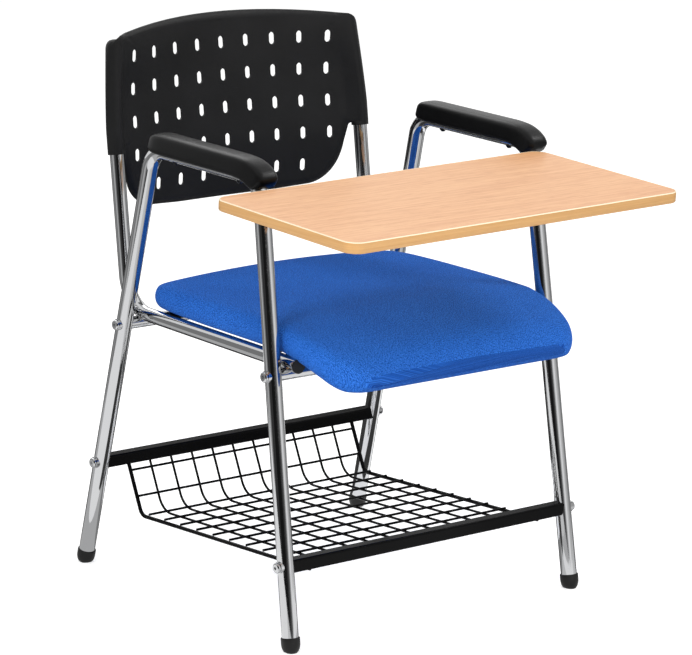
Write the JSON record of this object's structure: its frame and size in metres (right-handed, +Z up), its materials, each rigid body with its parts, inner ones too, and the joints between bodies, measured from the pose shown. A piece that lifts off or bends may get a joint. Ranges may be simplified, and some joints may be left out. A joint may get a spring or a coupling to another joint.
{
  "type": "tablet-arm training chair",
  "caption": "Training chair with chromed bent-tube side frames, slotted black back, blue padded seat, arm pads, wire book basket and a lift-up writing tablet.",
  "frame": {"origin": "middle of the overall box, on the floor", "axes": "+Z up, -Y to the front of the chair, -X to the sitter's right"},
  "size_m": [0.6668, 0.8108, 0.8448],
  "materials": {
    "chrome": "polished chrome plating",
    "zinc_steel": "zinc plated steel",
    "black_enamel": "black stoved enamel, satin",
    "black_shell": "moulded black plastic with a fine grain",
    "arm_pad_black": "moulded black polyurethane, soft satin",
    "cap_rubber": "black rubber",
    "plywood": "raw plywood",
    "blue_cloth": "woven upholstery cloth, fine weave",
    "beech_laminate": "beech-look laminate with long fine grain",
    "beech_edging": "straw-coloured plastic edge band"
  },
  "bodies": {
    "chair": {"side_frame_right": "chrome", "side_frame_left": "chrome", "seat_back_rail_right": "chrome", "seat_back_rail_left": "chrome", "front_cross_tube": "chrome", "rear_cross_tube": "chrome", "frame_bolts": "chrome", "frame_washers": "chrome", "basket_bolts": "chrome", "basket_washers": "chrome", "cross_tube_inserts": "zinc_steel", "basket_bar_inserts": "zinc_steel", "seat_bolts": "zinc_steel", "seat_t_nuts": "zinc_steel", "arm_pad_strips": "zinc_steel", "arm_pad_screws": "zinc_steel", "back_shell_screws": "zinc_steel", "tablet_hinge_pin": "zinc_steel", "tablet_clamp_bolts": "zinc_steel", "basket_front_bar": "black_enamel", "basket_rear_bar": "black_enamel", "basket_end_wires": "black_enamel", "basket_long_wires": "black_enamel", "basket_cross_wires": "black_enamel", "seat_tabs": "black_enamel", "tablet_bracket": "black_enamel", "tablet_clamp": "black_enamel", "back_shell": "black_shell", "arm_pad_right": "arm_pad_black", "arm_pad_left": "arm_pad_black", "foot_caps": "cap_rubber", "tablet_rest_pads": "cap_rubber", "rail_end_plugs": "cap_rubber", "upright_top_plugs": "cap_rubber", "seat_board": "plywood", "seat_cushion": "blue_cloth"},
    "tablet": {"tablet_board": "beech_laminate", "tablet_edge_band": "beech_edging", "tablet_hinge_leaf": "black_enamel", "tablet_leaf_screws": "zinc_steel"}
  },
  "joints": [
    {"name": "tablet_lift", "type": "hinge", "parent": "chair", "child": "tablet", "pos_m": [-0.24359, -0.17391, 0.64767], "axis": [0.0349, -0.9988, -0.0349], "range_deg": [0, 95]}
  ]
}
